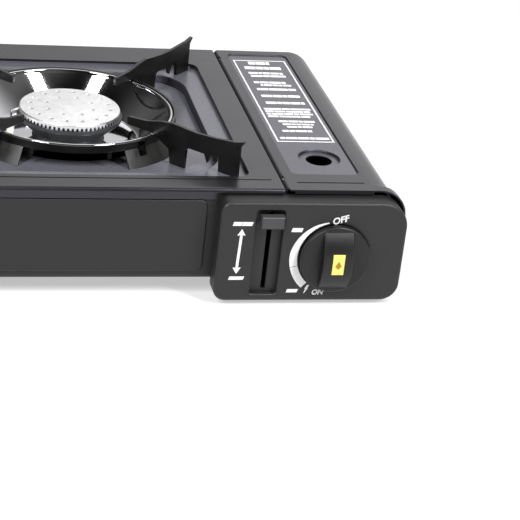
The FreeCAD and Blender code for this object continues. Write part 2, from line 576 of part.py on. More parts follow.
def knob():
    """Round knob with an arched grip bar, its marker and the valve spindle."""
    turned = Piece("knob", "knob_x", 0, "knob_z")
    grip = "grip_width / 2"
    turned.pad("X", f"-{grip}", "grip_width", path(
        ("panel_front - 1", -21.1), ("panel_front - 4", -21.1),
        ("panel_front - 4", 21.1, -32.8), ("panel_front - 1", 21.1)))
    turned.round(1.2, lambda at, length, span: at.y < number("panel_front") - 6 and length > 30)
    turned.spin("Y", path(
        ("panel_front - 5", 0), ("panel_front - 5", "knob_radius - 1.5"),
        ("panel_front - 3.5", "knob_radius", -1.5), ("panel_front - 0.7", "knob_radius"),
        ("panel_front - 0.7", "knob_radius - 2"), ("panel_front - 3", "knob_radius - 3"),
        ("panel_front - 3", 6), ("panel_front + 1", 6), ("panel_front + 1", 0)))
    turned.cut("Y", "panel_front - 6", 8, disc(0, 0, "spindle / 2"))
    turned.cut("Y", "knob_front - 1", 3,
               box("-marker_width / 2", "-marker_high / 2", "marker_width / 2", "marker_high / 2"))
    marker = Piece("knob_marker", "knob_x", 0, "knob_z")
    marker.pad("Y", "knob_front - 0.3", 2.3,
               box("-marker_width / 2", "-marker_high / 2", "marker_width / 2", "marker_high / 2"))
    spindle = Piece("valve_spindle", "knob_x", 0, "knob_z")
    spindle.spin("Y", path(("panel_front - 6", 0), ("panel_front - 6", "spindle / 2"),
                           (-104, "spindle / 2"), (-104, 0)))


def lever():
    """Locking lever with its tab and crank pin, the pivot, and the sliding collar clamp."""
    half = "lever_thick / 2"
    handle = Piece("lock_lever")
    rise = math.radians(number("lever_rise"))
    pivot = (number("pivot_y"), number("pivot_z"))

    def at(along, up):
        """Place in the lever's own frame, forward of and above the pivot, as Y and Z."""
        y = pivot[0] - along * math.cos(rise) + up * math.sin(rise)
        z = pivot[1] + along * math.sin(rise) + up * math.cos(rise)
        return (round(y, 2), round(z, 2))

    crank = number("crank")
    handle.pad("X", f"slot_x - {half}", "lever_thick", path(
        at(-6, -5), at(30, -5), at(62, -4), at(80, -3.5), at(80, 3.5), at(62, 4), at(30, 5),
        at(9, 7), at(4, crank + 3), at(-4, crank + 3), at(-7, 4)))
    handle.cut("X", "slot_x - 3", 6, disc("pivot_y", "pivot_z", 3.1))
    handle.pad("Y", "tab_front", 5.5, box("tab_x - tab_width / 2", "tab_z - tab_high / 2",
                                          "tab_x + tab_width / 2", "tab_z + tab_high / 2"))
    handle.round(1.5, lambda at, length, span: at.y < number("tab_front") + 2)
    handle.pad("X", f"slot_x + {half}", 12.6, disc(*at(0, crank), 2))

    pivot_pin = Piece("lever_pivot")
    pivot_pin.pad("X", "bay_wall + sheet", "slot_x - bay_wall - 2.3", disc("pivot_y", "pivot_z", 5.5))
    pivot_pin.pad("X", "slot_x - 1.3", 2.6, disc("pivot_y", "pivot_z", 3))
    pivot_pin.pad("X", "slot_x + 1.3", 1.4, disc("pivot_y", "pivot_z", 5))

    clamp = Piece("collar_clamp")
    clamp.pad("Y", "clamp_y", 2, path(
        (90, 14), ("can_x + 33", 14), ("can_x + 33", 62), ("can_x + 18", 62), ("can_x + 18", "can_z"),
        ("can_x", "can_z - 18", -18), ("can_x - 18", "can_z", -18), ("can_x - 18", 68), (90, 68)))
    pin_y, pin_z = at(0, crank)
    clamp.pad("X", 88.4, 1.6, path(("clamp_y", 46), (pin_y + 9, 46), (pin_y + 9, 68), ("clamp_y", 68)))
    clamp.cut("X", 87, 4, box(pin_y - 2.3, pin_z - 2.7, pin_y + 2.3, pin_z + 3.2))
    rail = Piece("clamp_rail", "can_x")
    rail.pad("Z", "bay_floor + sheet", 8.7, box(-12, -84, 12, -60))
    rail.cut("Z", "bay_floor + sheet", 6, box(-9, -85, 9, -59))


def cradle():
    """Curved heat-spreading plate that the canister lies on."""
    rest = Piece("canister_cradle")
    centre_x, centre_z = number("can_x"), number("can_z")
    outer, inner = number("can_radius") + 1.5, number("can_radius") + 0.3

    def at(radius, degrees):
        angle = math.radians(degrees)
        return (round(centre_x + radius * math.cos(angle), 3), round(centre_z + radius * math.sin(angle), 3))

    rest.pad("Y", -48, 160, path(at(outer, 235), (*at(outer, 305), outer), at(inner, 305),
                                 (*at(inner, 235), -inner)))


def lid():
    """Hinged canister lid: curled hinge edge, round shoulder, sunk panel and finger dish."""
    cover = Piece("canister_lid")
    flat_end = "right_edge - shoulder"
    low = "top_level - shoulder"
    cover.pad("Y", "front_edge", "back_edge - front_edge", path(
        ("hinge_x", "top_level"), ("hinge_x - curl", "hinge_z", "curl"),
        ("hinge_x", "hinge_z - curl", "curl"), ("hinge_x", "hinge_z - curl + sheet"),
        ("hinge_x - curl + sheet", "hinge_z", "sheet - curl"),
        ("hinge_x", "hinge_z + curl - sheet", "sheet - curl"), (flat_end, "top_level - sheet"),
        ("right_edge - sheet", low, "sheet - shoulder"), ("right_edge - sheet", "lid_side_low"),
        ("right_edge", "lid_side_low"), ("right_edge", low), (flat_end, "top_level", "shoulder")))

    def edge_of(right, bend):
        """Section of the sheet from the flat top round the shoulder and down the side."""
        return path((f"{flat_end} - 1", "top_level - sheet"), (f"{right} - {bend}", "top_level - sheet"),
                    (f"{right} - sheet", f"top_level - {bend}", f"sheet - {bend}"),
                    (f"{right} - sheet", "lid_side_low"), (right, "lid_side_low"),
                    (right, f"top_level - {bend}"), (f"{right} - {bend}", "top_level", bend),
                    (f"{flat_end} - 1", "top_level"))

    # The front end flares out over the control panel
    cover.cut("Y", "front_edge - 1", "rim_end - front_edge + 1",
              box(f"{flat_end} - 1", "lid_side_low - 1", "right_edge + 1", "top_level + 1"))
    cover.loft("Y", "rim_end", edge_of("right_edge", "shoulder"), "rim_start",
               edge_of("rim_right", "rim_shoulder"))
    cover.pad("Y", "front_edge", "rim_start - front_edge", edge_of("rim_right", "rim_shoulder"))
    curl_notch = (box("hinge_x - curl - 1", "hinge_z - curl - 1", "hinge_x + curl + 0.5",
                      "top_level - sheet"),
                  box("hinge_x - curl - 1", "top_level - sheet", "hinge_x - 0.2", "top_level + 1"))
    cover.pad("Y", "front_edge", "sheet", box("hinge_x + 3", "top_level - 2.9", flat_end, "top_level - 0.5"))
    # The curl stops short of the rear end, which is closed by a flange and rounded
    for outline in curl_notch:
        cover.cut("Y", "back_edge - 3.4", 4.4, outline)
    cover.pad("Y", "back_edge - sheet", "sheet", path(
        ("hinge_x - 0.2", "top_level - 0.5"), ("hinge_x - 0.2", "lid_side_low"),
        ("right_edge - 0.5", "lid_side_low"), ("right_edge - 0.5", low),
        (flat_end, "top_level - 0.5", "shoulder - 0.5")))
    cover.round(2.4, lambda at, length, span: flat_on(span, "Y", "back_edge")
                and (near(at.z, "top_level") or at.x > number(flat_end)) and length > 9)
    # Crease in front of the sunk panel
    cover.cut("Z", "top_level - 0.4", 1, box("sunk_left", "crease", "sunk_right", "crease + bead_width"))
    # The sunk panel has sloping edges, and its underside and the finger dish stand below it
    cover.pad("Z", "top_level - 2 * sheet", "1.5 * sheet", round_box(
        "sunk_left - sheet", "sunk_front - sheet", "sunk_right + sheet", "sunk_back + sheet", 6))
    cover.cut("Z", "top_level - sheet", 2,
              round_box("sunk_left", "sunk_front", "sunk_right", "sunk_back", 5))
    cover.round(0.8, lambda at, length, span: flat_on(span, "Z", "top_level")
                and number("sunk_left - 0.1") < at.x < number("sunk_right + 0.1")
                and number("sunk_front - 0.1") < at.y < number("sunk_back + 0.1"), "Chamfer")
    cover.pad("Z", "top_level - 2 * sheet - dish_depth", "dish_depth + 0.5 * sheet",
              disc("dish_x", "dish_y", "dish_radius + sheet"))
    cover.cut("Z", "top_level - sheet - dish_depth", 9, disc("dish_x", "dish_y", "dish_radius"))
    cover.round(0.9, lambda at, length, span: flat_on(span, "Z", "top_level - sheet")
                and near(at.x, "dish_x", 0.5) and near(at.y, "dish_y", 0.5))
    cover.cut("Z", "top_level - 9", 12, disc("dish_x", "dish_y", "finger_hole"))
    # Notches in the curl for the front end and the two hinge ears
    for start, width in (("front_edge - 1", 3.4), *((ear - 2, 6) for ear in HINGE_STARTS)):
        for outline in curl_notch:
            cover.cut("Y", start, width, outline)


def hinges():
    """Hinge ears under the top plate's right strip, each with its pin through the lid's curl."""
    for name, start in zip(("front", "rear"), HINGE_STARTS):
        ear = Piece(f"hinge_ear_{name}")
        ear.pad("Y", start, 2, path(
            (74, 70), ("seam", 70), ("hinge_x", "hinge_z - curl"), ("hinge_x + curl", "hinge_z", "curl"),
            ("hinge_x + curl", "hinge_z + 1"), ("hinge_x - 1.8", "hinge_z - 1"), (74, "hinge_z - 1")))
        ear.pad("Z", "top_level - 2 * sheet", "sheet", box(74, start - 6, "seam - 3", start + 8))
        ear.pad("Y", start, 2, box(74, 73, "seam - 3", "top_level - 2 * sheet + 0.5"))
        ear.cut("Y", start - 1, 4, disc("hinge_x", "hinge_z", 1.6))
        pin = Piece(f"hinge_pin_{name}", "hinge_x", start - 11, "hinge_z")
        pin.spin("Y", path((0, 0), (0, 1.6), (24, 1.6), (24, 0)))


body_shell()
top_plate()
bay_tray()
bay_partition()
control_panel()
feet()
burner()
electrode_parts()
reflector_bowl()
pan_support()
regulator()
knob()
lever()
cradle()
lid()
hinges()
doc.recompute()

# Checks: no failed object, no empty or broken shape, and every cut takes material away
for item in doc.Objects:
    if "Invalid" in item.State or "Error" in item.State:
        raise RuntimeError(f"{item.Name} of {item.getParent() and item.getParent().Label} failed")
    if item.isDerivedFrom("PartDesign::Pocket") and item.BaseFeature is not None:
        if item.BaseFeature.Shape.Volume - item.Shape.Volume < 0.1:
            raise RuntimeError(f"{item.Name} of {item.getParent().Label} cuts nothing")
os.makedirs("parts", exist_ok=True)
for piece in Piece.pieces:
    shape = piece.Shape
    if shape.isNull() or not shape.isValid() or shape.Volume < 1:
        raise RuntimeError(f"{piece.Label} has no sound shape")
    shape.exportStep(f"parts/{piece.Label}.step")
    print(f"{piece.Label:24s} solids {len(shape.Solids)} volume {shape.Volume:9.0f}")
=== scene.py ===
import math

import bmesh
import bpy
import numpy as np
from mathutils import Matrix, Vector


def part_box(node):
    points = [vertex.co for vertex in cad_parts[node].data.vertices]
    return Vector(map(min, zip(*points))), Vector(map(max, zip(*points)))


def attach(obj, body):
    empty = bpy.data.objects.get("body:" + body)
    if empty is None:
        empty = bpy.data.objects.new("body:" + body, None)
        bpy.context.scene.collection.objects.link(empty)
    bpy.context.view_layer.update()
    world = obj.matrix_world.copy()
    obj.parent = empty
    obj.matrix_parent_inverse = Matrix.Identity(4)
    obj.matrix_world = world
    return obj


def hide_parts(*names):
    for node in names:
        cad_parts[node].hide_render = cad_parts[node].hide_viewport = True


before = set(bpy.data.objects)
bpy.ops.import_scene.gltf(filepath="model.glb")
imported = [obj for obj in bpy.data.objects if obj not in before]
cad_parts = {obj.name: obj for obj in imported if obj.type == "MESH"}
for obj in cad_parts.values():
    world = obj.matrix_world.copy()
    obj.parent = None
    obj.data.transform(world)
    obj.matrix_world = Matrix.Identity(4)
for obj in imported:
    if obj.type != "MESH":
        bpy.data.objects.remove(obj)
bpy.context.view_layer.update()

# Camera: a long lens above the front left corner, looking down and to the right at the burner,
# the canister lid and the control panel, and rolled so that the stove runs downhill to the right.
LENS = 120.74
PITCH, YAW, ROLL = (math.radians(angle) for angle in (25.89, 14.79, 6.64))
ahead = Vector((math.sin(YAW) * math.cos(PITCH), math.cos(YAW) * math.cos(PITCH), -math.sin(PITCH)))
level = Vector((math.cos(YAW), -math.sin(YAW), 0))
below = ahead.cross(level)
across = math.cos(ROLL) * level - math.sin(ROLL) * below
down = math.sin(ROLL) * level + math.cos(ROLL) * below
lens = bpy.data.cameras.new("studio_camera")
lens.sensor_width = 36
lens.lens = LENS
lens.clip_start, lens.clip_end = 0.05, 20
camera = bpy.data.objects.new("studio_camera", lens)
bpy.context.scene.collection.objects.link(camera)
STAND = Vector((-0.187, -1.112, 0.525))
camera.matrix_world = Matrix.LocRotScale(STAND, Matrix((across, -down, -ahead)).transposed(), None)
bpy.context.scene.camera = camera
bpy.context.scene.view_settings.view_transform = "Standard"


# Studio: a white paper floor that keeps the shadow, a surround that is white to the camera and
# lights the stove from behind on the right, and three soft boxes that the bowl mirrors.
def linear(code):
    """Linear red, green, blue and alpha of an sRGB hex colour: each channel c becomes c / 12.92
    up to 0.04045, and ((c + 0.055) / 1.055) to the power 2.4 above it."""
    values = np.array([int(code[place:place + 2], 16) for place in (1, 3, 5)]) / 255
    return (*np.where(values <= 0.04045, values / 12.92, ((values + 0.055) / 1.055) ** 2.4), 1)


def add_node(tree, kind, settings, inputs):
    """A node of that kind: its properties are set, and each input, found by identifier, is set
    or linked to the output given for it."""
    node = tree.nodes.new(kind)
    for name, value in settings.items():
        setattr(node, name, value)
    for name, value in inputs.items():
        socket = next(item for item in node.inputs if item.identifier == name)
        if isinstance(value, bpy.types.NodeSocket):
            tree.links.new(value, socket)
        else:
            socket.default_value = value
    return node


def grid_mesh(name, points, closed_u=False, closed_v=False):
    """Object from a grid of points, u along the first index and v along the second: each cell is
    one face, and a closed direction joins its last row to its first."""
    rows, columns = points.shape[:2]
    u = np.arange(rows if closed_u else rows - 1)
    v = np.arange(columns if closed_v else columns - 1)
    u, v = (item.ravel() for item in np.meshgrid(u, v, indexing="ij"))
    u_next, v_next = (u + 1) % rows, (v + 1) % columns
    corners = [(u, v), (u_next, v), (u_next, v_next), (u, v_next)]
    faces = np.stack([a * columns + b for a, b in corners], axis=1)
    mesh = bpy.data.meshes.new(name)
    mesh.from_pydata(points.reshape(-1, 3).tolist(), [], faces.tolist())
    mesh.update()
    made = bpy.data.objects.new(name, mesh)
    bpy.context.scene.collection.objects.link(made)
    return made


# A disc 3 m in radius, 0.2 mm under the feet
FLOOR_REACH, FLOOR_DROP = 3.0, 0.0002
ring, turn = np.meshgrid([0, FLOOR_REACH], np.linspace(0, 2 * np.pi, 64, endpoint=False),
                         indexing="ij")
disc = np.stack([ring * np.cos(turn), ring * np.sin(turn), 0 * ring - FLOOR_DROP], axis=-1)
floor = grid_mesh("studio_floor", disc, closed_v=True)
white_floor = bpy.data.materials.new("matt_white_paper_sweep")
white_floor.use_nodes = True
tree = white_floor.node_tree
tree.nodes.remove(tree.nodes["Principled BSDF"])
rays = add_node(tree, "ShaderNodeLightPath", {}, {})
seen = rays.outputs["Is Camera Ray"]
for kind in ("Is Glossy Ray", "Is Transmission Ray"):
    seen = add_node(tree, "ShaderNodeMath", {"operation": "MAXIMUM"},
                    {"Value": seen, "Value_001": rays.outputs[kind]}).outputs[0]
glow = add_node(tree, "ShaderNodeEmission", {}, {"Color": linear("#ffffff"), "Strength": seen})
paper = add_node(tree, "ShaderNodeBsdfDiffuse", {}, {"Color": linear("#f2f2f2")})
# Past the reach of the shadow the paper runs evenly into the white surround
spot = add_node(tree, "ShaderNodeTexCoord", {}, {})
away = add_node(tree, "ShaderNodeVectorMath", {"operation": "LENGTH"},
                {"Vector": spot.outputs["Object"]})
SHADOW_REACH, ALL_WHITE = 0.35, 1.0
share = add_node(tree, "ShaderNodeMapRange", {"interpolation_type": "SMOOTHSTEP"},
                 {"Value": away.outputs["Value"], "From Min": SHADOW_REACH,
                  "From Max": ALL_WHITE, "To Min": 0.5, "To Max": 1.0})
lift = add_node(tree, "ShaderNodeMixShader", {},
                {"Fac": share.outputs[0], "Shader": paper.outputs[0],
                 "Shader_001": glow.outputs[0]})
tree.links.new(lift.outputs[0], tree.nodes["Material Output"].inputs["Surface"])
floor.data.materials.append(white_floor)

world = bpy.data.worlds.new("studio_surround")
bpy.context.scene.world = world
world.use_nodes = True
tree = world.node_tree
way = add_node(tree, "ShaderNodeTexCoord", {}, {})
part = add_node(tree, "ShaderNodeSeparateXYZ", {}, {"Vector": way.outputs["Generated"]})
# Strength of its light: the product of four ramps along the direction's own coordinates, up
# towards the back, up from the horizon, down again overhead, and up towards the right
wall = 1.0
for axis, start, end, low, high in (("Y", -0.1, 0.75, 0.14, 1.0), ("Z", 0.0, 0.46, 0.7, 1.2),
                                    ("Z", 0.6, 0.85, 1.0, 0.12), ("X", -0.3, 0.35, 0.12, 1.0)):
    ramp = add_node(tree, "ShaderNodeMapRange", {"interpolation_type": "SMOOTHSTEP"},
                    {"Value": part.outputs[axis], "From Min": start, "From Max": end,
                     "To Min": low, "To Max": high})
    wall = add_node(tree, "ShaderNodeMath", {"operation": "MULTIPLY"},
                    {"Value": wall, "Value_001": ramp.outputs[0]}).outputs[0]
rays = add_node(tree, "ShaderNodeLightPath", {}, {})
bright = add_node(tree, "ShaderNodeMath", {"operation": "MAXIMUM"},
                  {"Value": rays.outputs["Is Camera Ray"], "Value_001": wall})
tree.links.new(bright.outputs[0], tree.nodes["Background"].inputs["Strength"])
tree.nodes["Background"].inputs["Color"].default_value = linear("#ffffff")

# Soft boxes: place and size in metres, power in watts, each turned to the middle of the stove
MIDDLE = Vector((0.02, 0, 0.05))
for name, place, size, power in (("soft_box_left", (-0.95, -0.85, 1.25), (0.35, 1.05), 33.0),
                                 ("soft_box_right", (0.85, -0.85, 1.25), (0.35, 1.05), 33.0),
                                 ("soft_box_above", (0.15, 0.85, 1.2), (0.9, 0.6), 3.0)):
    lamp = bpy.data.lights.new(name, "AREA")
    lamp.shape = "RECTANGLE"
    lamp.size, lamp.size_y = size
    lamp.energy = power
    light = bpy.data.objects.new(name, lamp)
    bpy.context.scene.collection.objects.link(light)
    light.location = place
    light.rotation_euler = (MIDDLE - Vector(place)).to_track_quat("-Z", "Y").to_euler()


# Body: one folded sheet of 1 mm steel with the raised front panel pressed into it and its vents
# cut through, sprayed in graphite enamel and baked, which leaves a faint orange peel.
def coated(name, color, roughness, **sockets):
    """Material with one Principled shader: the sockets are named with underscores for spaces."""
    material = bpy.data.materials.new(name)
    material.use_nodes = True
    shader = material.node_tree.nodes["Principled BSDF"]
    shader.inputs["Base Color"].default_value = linear(color)
    shader.inputs["Roughness"].default_value = roughness
    for socket, value in sockets.items():
        shader.inputs[socket.replace("_", " ")].default_value = value
    return material, material.node_tree, shader


def mottle(tree, shader, light, dark, patch, rough):
    """Slow change over the surface: noise with patches of that size in mm blends two colours and
    two roughnesses, over the range from 0.3 to 0.7 in which such noise mostly lies."""
    spot = add_node(tree, "ShaderNodeTexCoord", {}, {})
    cloud = add_node(tree, "ShaderNodeTexNoise", {}, {"Vector": spot.outputs["Object"],
                                                      "Scale": 1000 / patch, "Detail": 4})
    blend = add_node(tree, "ShaderNodeMix", {"data_type": "RGBA"},
                     {"Factor_Float": cloud.outputs["Fac"], "A_Color": linear(dark),
                      "B_Color": linear(light)})
    sheen = add_node(tree, "ShaderNodeMapRange", {},
                     {"Value": cloud.outputs["Fac"], "From Min": 0.3, "From Max": 0.7,
                      "To Min": rough[0], "To Max": rough[1]})
    tree.links.new(blend.outputs[2], shader.inputs["Base Color"])
    tree.links.new(sheen.outputs[0], shader.inputs["Roughness"])
    return spot.outputs["Object"]


def pebble(tree, shader, spot, grit, depth):
    """Bump from fine noise: grit is its spacing and depth its height, both in mm."""
    grain = add_node(tree, "ShaderNodeTexNoise", {},
                     {"Vector": spot, "Scale": 1000 / grit, "Detail": 2})
    bump = add_node(tree, "ShaderNodeBump", {}, {"Height": grain.outputs["Fac"], "Strength": 1.0,
                                                 "Distance": depth / 1000})
    tree.links.new(bump.outputs[0], shader.inputs["Normal"])


def surface(name, color, roughness, light, dark, patch, rough, grit, depth, **sockets):
    """Material that is mottled between two colours and pebbled with fine grit."""
    material, tree, shader = coated(name, color, roughness, **sockets)
    pebble(tree, shader, mottle(tree, shader, light, dark, patch, rough), grit, depth)
    return material


# Baked enamel: a thin clear layer over dark pigment, so it mirrors pale things at a low angle
enamel = surface("baked_graphite_enamel", "#19191b", 0.3, "#1d1d20", "#161618", patch=60,
                 rough=(0.26, 0.34), grit=1.4, depth=0.012, IOR=1.5, Coat_Weight=0.12,
                 Coat_Roughness=0.05, Coat_IOR=1.5, Specular_Tint=linear("#f2f1ff"))


def within(tree, spot, low, high):
    """1 inside the box with those corners in mm and 0 outside: the largest of the three distances
    from its middle, each less half the box's side, is below 0 inside."""
    low, high = np.array(low) / 1000, np.array(high) / 1000
    from_middle = add_node(tree, "ShaderNodeVectorMath", {"operation": "SUBTRACT"},
                           {"Vector": spot, "Vector_001": (low + high) / 2})
    away = add_node(tree, "ShaderNodeVectorMath", {"operation": "ABSOLUTE"},
                    {"Vector": from_middle.outputs[0]})
    past = add_node(tree, "ShaderNodeVectorMath", {"operation": "SUBTRACT"},
                    {"Vector": away.outputs[0], "Vector_001": (high - low) / 2})
    part = add_node(tree, "ShaderNodeSeparateXYZ", {}, {"Vector": past.outputs[0]})
    most = add_node(tree, "ShaderNodeMath", {"operation": "MAXIMUM"},
                    {"Value": part.outputs["X"], "Value_001": part.outputs["Y"]})
    most = add_node(tree, "ShaderNodeMath", {"operation": "MAXIMUM"},
                    {"Value": most.outputs[0], "Value_001": part.outputs["Z"]})
    inside = add_node(tree, "ShaderNodeMath", {"operation": "LESS_THAN"},
                      {"Value": most.outputs[0], "Value_001": 0})
    return inside.outputs[0]


def paler_where_sunk(name, low, high, light):
    """Copy of the enamel whose faces inside that box, other than those that face sideways, are
    paler and finely speckled: partly the speckled finish of a sunk panel and partly painted light
    for its brighter reflection. Sideways faces in the box are made dull."""
    material = enamel.copy()
    material.name = name
    tree = material.node_tree
    shader = tree.nodes["Principled BSDF"]
    base_tone = shader.inputs["Base Color"].links[0].from_socket
    spot = add_node(tree, "ShaderNodeTexCoord", {}, {}).outputs["Object"]
    # All of it on faces turned less than 12 degrees sideways, and none past 37 degrees
    facing = add_node(tree, "ShaderNodeNewGeometry", {}, {})
    facing = add_node(tree, "ShaderNodeSeparateXYZ", {}, {"Vector": facing.outputs["Normal"]})
    side = add_node(tree, "ShaderNodeMath", {"operation": "ABSOLUTE"},
                    {"Value": facing.outputs["X"]})
    flat = add_node(tree, "ShaderNodeMapRange", {},
                    {"Value": side.outputs[0], "From Min": 0.2, "From Max": 0.6,
                     "To Min": 1, "To Max": 0})
    share = add_node(tree, "ShaderNodeMath", {"operation": "MULTIPLY"},
                     {"Value": flat.outputs[0], "Value_001": within(tree, spot, low, high)})
    # Speckle of the dried spray, drawn 900 to the metre, coarser than the real one, to show
    grain = add_node(tree, "ShaderNodeTexNoise", {}, {"Vector": spot, "Scale": 900, "Detail": 1})
    speckle = add_node(tree, "ShaderNodeMix", {"data_type": "RGBA"},
                       {"Factor_Float": grain.outputs["Fac"], "A_Color": linear(light[0]),
                        "B_Color": linear(light[1])})
    blend = add_node(tree, "ShaderNodeMix", {"data_type": "RGBA"},
                     {"Factor_Float": share.outputs[0], "A_Color": base_tone,
                      "B_Color": speckle.outputs[2]})
    # Painted light: the flat faces in the box take the paler speckled colour
    tree.links.new(blend.outputs[2], shader.inputs["Base Color"])
    step = add_node(tree, "ShaderNodeMath", {"operation": "SUBTRACT"},
                    {"Value": within(tree, spot, low, high), "Value_001": share.outputs[0]})
    rough = shader.inputs["Roughness"].links[0].from_socket
    dull = add_node(tree, "ShaderNodeMath", {"operation": "MAXIMUM"},
                    {"Value": rough, "Value_001": step.outputs[0]})
    tree.links.new(dull.outputs[0], shader.inputs["Roughness"])
    return material


def finish(material, *nodes):
    """Give CAD nodes one finish."""
    for node in nodes:
        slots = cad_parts[node].data.materials
        slots.clear()
        slots.append(material)


# The body itself carries the same paint in a satin grade, without the clear layer
satin = surface("satin_graphite_paint", "#161617", 0.42, "#19191a", "#131314", patch=80,
                rough=(0.4, 0.5), grit=0.9, depth=0.01, IOR=1.48)
finish(satin, "body_shell")

# Feet: short blocks of black rubber under the corners of the body, each moulded with a blind hole
# for its screw. Rubber is dull and shows dust.
rubber = surface("moulded_black_rubber", "#1b1b1b", 0.8, "#242423", "#161616", patch=7,
                 rough=(0.7, 0.85), grit=0.5, depth=0.02, IOR=1.52)
finish(rubber, "foot_front_left", "foot_rear_left", "foot_front_right", "foot_rear_right")

# Canister bay: the lowered floor and the heat shield beside it, thinner sheet in flat grey primer,
# with the curved plate that the canister lies on. The plate, the clamp with its rail, the brackets
# and the hinge ears are pressed from zinc-plated sheet, which has a soft pale spangle.
primer = surface("flat_grey_stoving_primer", "#2b2b2d", 0.55, "#323234", "#262628", patch=25,
                 rough=(0.5, 0.65), grit=0.7, depth=0.012, IOR=1.5)
finish(primer, "bay_tray", "bay_partition")
galvanised = surface("zinc_plated_steel_sheet", "#b9babd", 0.38, "#c6c8cc", "#9fa1a6", patch=9,
                     rough=(0.3, 0.48), grit=2.5, depth=0.006, Metallic=1.0)
finish(galvanised, "canister_cradle", "clamp_rail", "collar_clamp", "burner_bracket",
       "electrode_clip", "hinge_ear_front", "hinge_ear_rear")

# Burner: a cast aluminium base with the mixing tube and brass jet, fed by a bent gas pipe and held
# on a pressed bracket. The casting is matt and lightly pitted, the tube and pipe are drawn steel.
cast = surface("sand_cast_aluminium", "#5c5d60", 0.5, "#68696c", "#4c4d50", patch=5,
               rough=(0.42, 0.6), grit=0.8, depth=0.05, Metallic=1.0)
finish(cast, "burner_base", "gas_valve_body", "regulator_body", "regulator_cover")
drawn = surface("drawn_steel_tube", "#c2c3c6", 0.3, "#cccdd0", "#aeb0b4", patch=14,
                rough=(0.24, 0.36), grit=1.2, depth=0.006, Metallic=1.0, Anisotropic=0.3)
finish(drawn, "mixing_tube", "gas_pipe", "lever_pivot", "hinge_pin_front", "hinge_pin_rear",
       "valve_spindle", "locating_pin", "electrode_wire")
brass = surface("turned_brass", "#c9a45c", 0.28, "#d2ae67", "#b08c48", patch=3, rough=(0.22, 0.34),
                grit=0.4, depth=0.01, Metallic=1.0)
finish(brass, "jet_nozzle")
screw = surface("bright_zinc_screw", "#c7c8c9", 0.32, "#d4d5d6", "#aaabac", patch=2,
                rough=(0.26, 0.4), grit=0.5, depth=0.01, Metallic=1.0)
finish(screw, "bracket_screws", "panel_screws", "regulator_screws")

# Spark electrode: a steel wire in a glazed white ceramic tube, with the clicker in its black case
# and a rubber-covered lead between them.
glaze = surface("glazed_alumina_ceramic", "#e9e6dd", 0.2, "#ece9e1", "#ddd8cc", patch=6,
                rough=(0.18, 0.3), grit=1.5, depth=0.01, IOR=1.6, Coat_Weight=0.5,
                Coat_Roughness=0.08)
finish(glaze, "electrode_ceramic")
case_plastic = surface("moulded_black_nylon", "#1d1d1e", 0.45, "#222223", "#18181a", patch=8,
                       rough=(0.4, 0.55), grit=0.3, depth=0.01, IOR=1.53)
finish(case_plastic, "piezo_igniter")
sleeve = surface("soft_silicone_lead_cover", "#26262a", 0.6, "#2c2c30", "#1f1f23", patch=4,
                 rough=(0.55, 0.7), grit=0.4, depth=0.01, IOR=1.43)
finish(sleeve, "igniter_lead", "valve_seal")

# Top plate: one sheet pressed with turned-down edges, the sunk drip tray and the well round the
# burner, in the glossy enamel. Its flat faces in the tray are drawn paler and speckled, partly a
# speckled finish and partly painted light for the tray's brighter reflection.
plate_enamel = paler_where_sunk("baked_graphite_enamel_on_plate", (-147, -100, 60), (69, 111, 75.5),
                             ("#404046", "#66666e"))
finish(plate_enamel, "top_plate")

# Reflector bowl: spun stainless steel with a rolled rim, polished on the lathe, so fine rings run
# round it and stretch its reflections across them.
BURNER_X, BURNER_Y = -39, 5.5


def from_burner(tree, spot):
    """Position counted from the burner's axis, and the distance from that axis: the length of
    the position with its height left out."""
    place = add_node(tree, "ShaderNodeMapping", {},
                     {"Vector": spot, "Location": (-BURNER_X / 1000, -BURNER_Y / 1000, 0)})
    level = add_node(tree, "ShaderNodeVectorMath", {"operation": "MULTIPLY"},
                     {"Vector": place.outputs[0], "Vector_001": (1, 1, 0)})
    away = add_node(tree, "ShaderNodeVectorMath", {"operation": "LENGTH"},
                    {"Vector": level.outputs[0]})
    return place.outputs[0], away.outputs["Value"]


bowl_steel, tree, shader = coated("spun_polished_stainless_steel", "#c9c9cb", 0.05, Metallic=1.0)
spot = mottle(tree, shader, "#d4d4d6", "#bcbcbf", 30, (0.03, 0.07))
# Turning marks 0.8 mm apart, drawn coarser than the real ones so that they show
MARK_SPACING, MARK_DEPTH = 0.8, 0.004
marks = add_node(tree, "ShaderNodeTexNoise", {"noise_dimensions": "1D"},
                 {"W": from_burner(tree, spot)[1], "Scale": 1000 / MARK_SPACING, "Detail": 2})
bump = add_node(tree, "ShaderNodeBump", {}, {"Height": marks.outputs["Fac"], "Strength": 1.0,
                                             "Distance": MARK_DEPTH / 1000})
tree.links.new(bump.outputs[0], shader.inputs["Normal"])


def arc(centre, radius, start, end, steps):
    """Points centre + radius (cos a, sin a), with a even between the two angles in degrees."""
    a = np.radians(np.linspace(start, end, steps))
    return np.stack([centre[0] + radius * np.cos(a), centre[1] + radius * np.sin(a)], axis=1)


# The spun wall stands straight at 47 degrees, where the wall of the solid is dished. Its closed
# profile of radius and height goes out along the top of the sheet, round the bead and back under
LEAN, INNER, FLOOR, SHEET, BEND, BEAD, ROUND = 47, 25, 60.8, 0.8, 6.0, 1.3, 192
slope = math.radians(LEAN)
wall_top, bead_centre = np.array([68.0, 80.8]), (69.9, 82.1)
bend_centre = (wall_top[0] - (wall_top[1] - FLOOR) / math.tan(slope) - BEND * math.tan(slope / 2),
               FLOOR + BEND)
under = SHEET * np.array([math.sin(slope), -math.cos(slope)])
profile = np.vstack([[(INNER, FLOOR)], arc(bend_centre, BEND, -90, LEAN - 90, 9), [wall_top],
                     arc(bead_centre, BEAD, 180, -75, 22), [wall_top + under],
                     arc(bend_centre, BEND + SHEET, LEAN - 90, -90, 9), [(INNER, FLOOR - SHEET)]])
r, a = np.meshgrid(profile[:, 0], np.linspace(0, 2 * np.pi, ROUND, endpoint=False), indexing="ij")
z = np.broadcast_to(profile[:, 1:], r.shape)
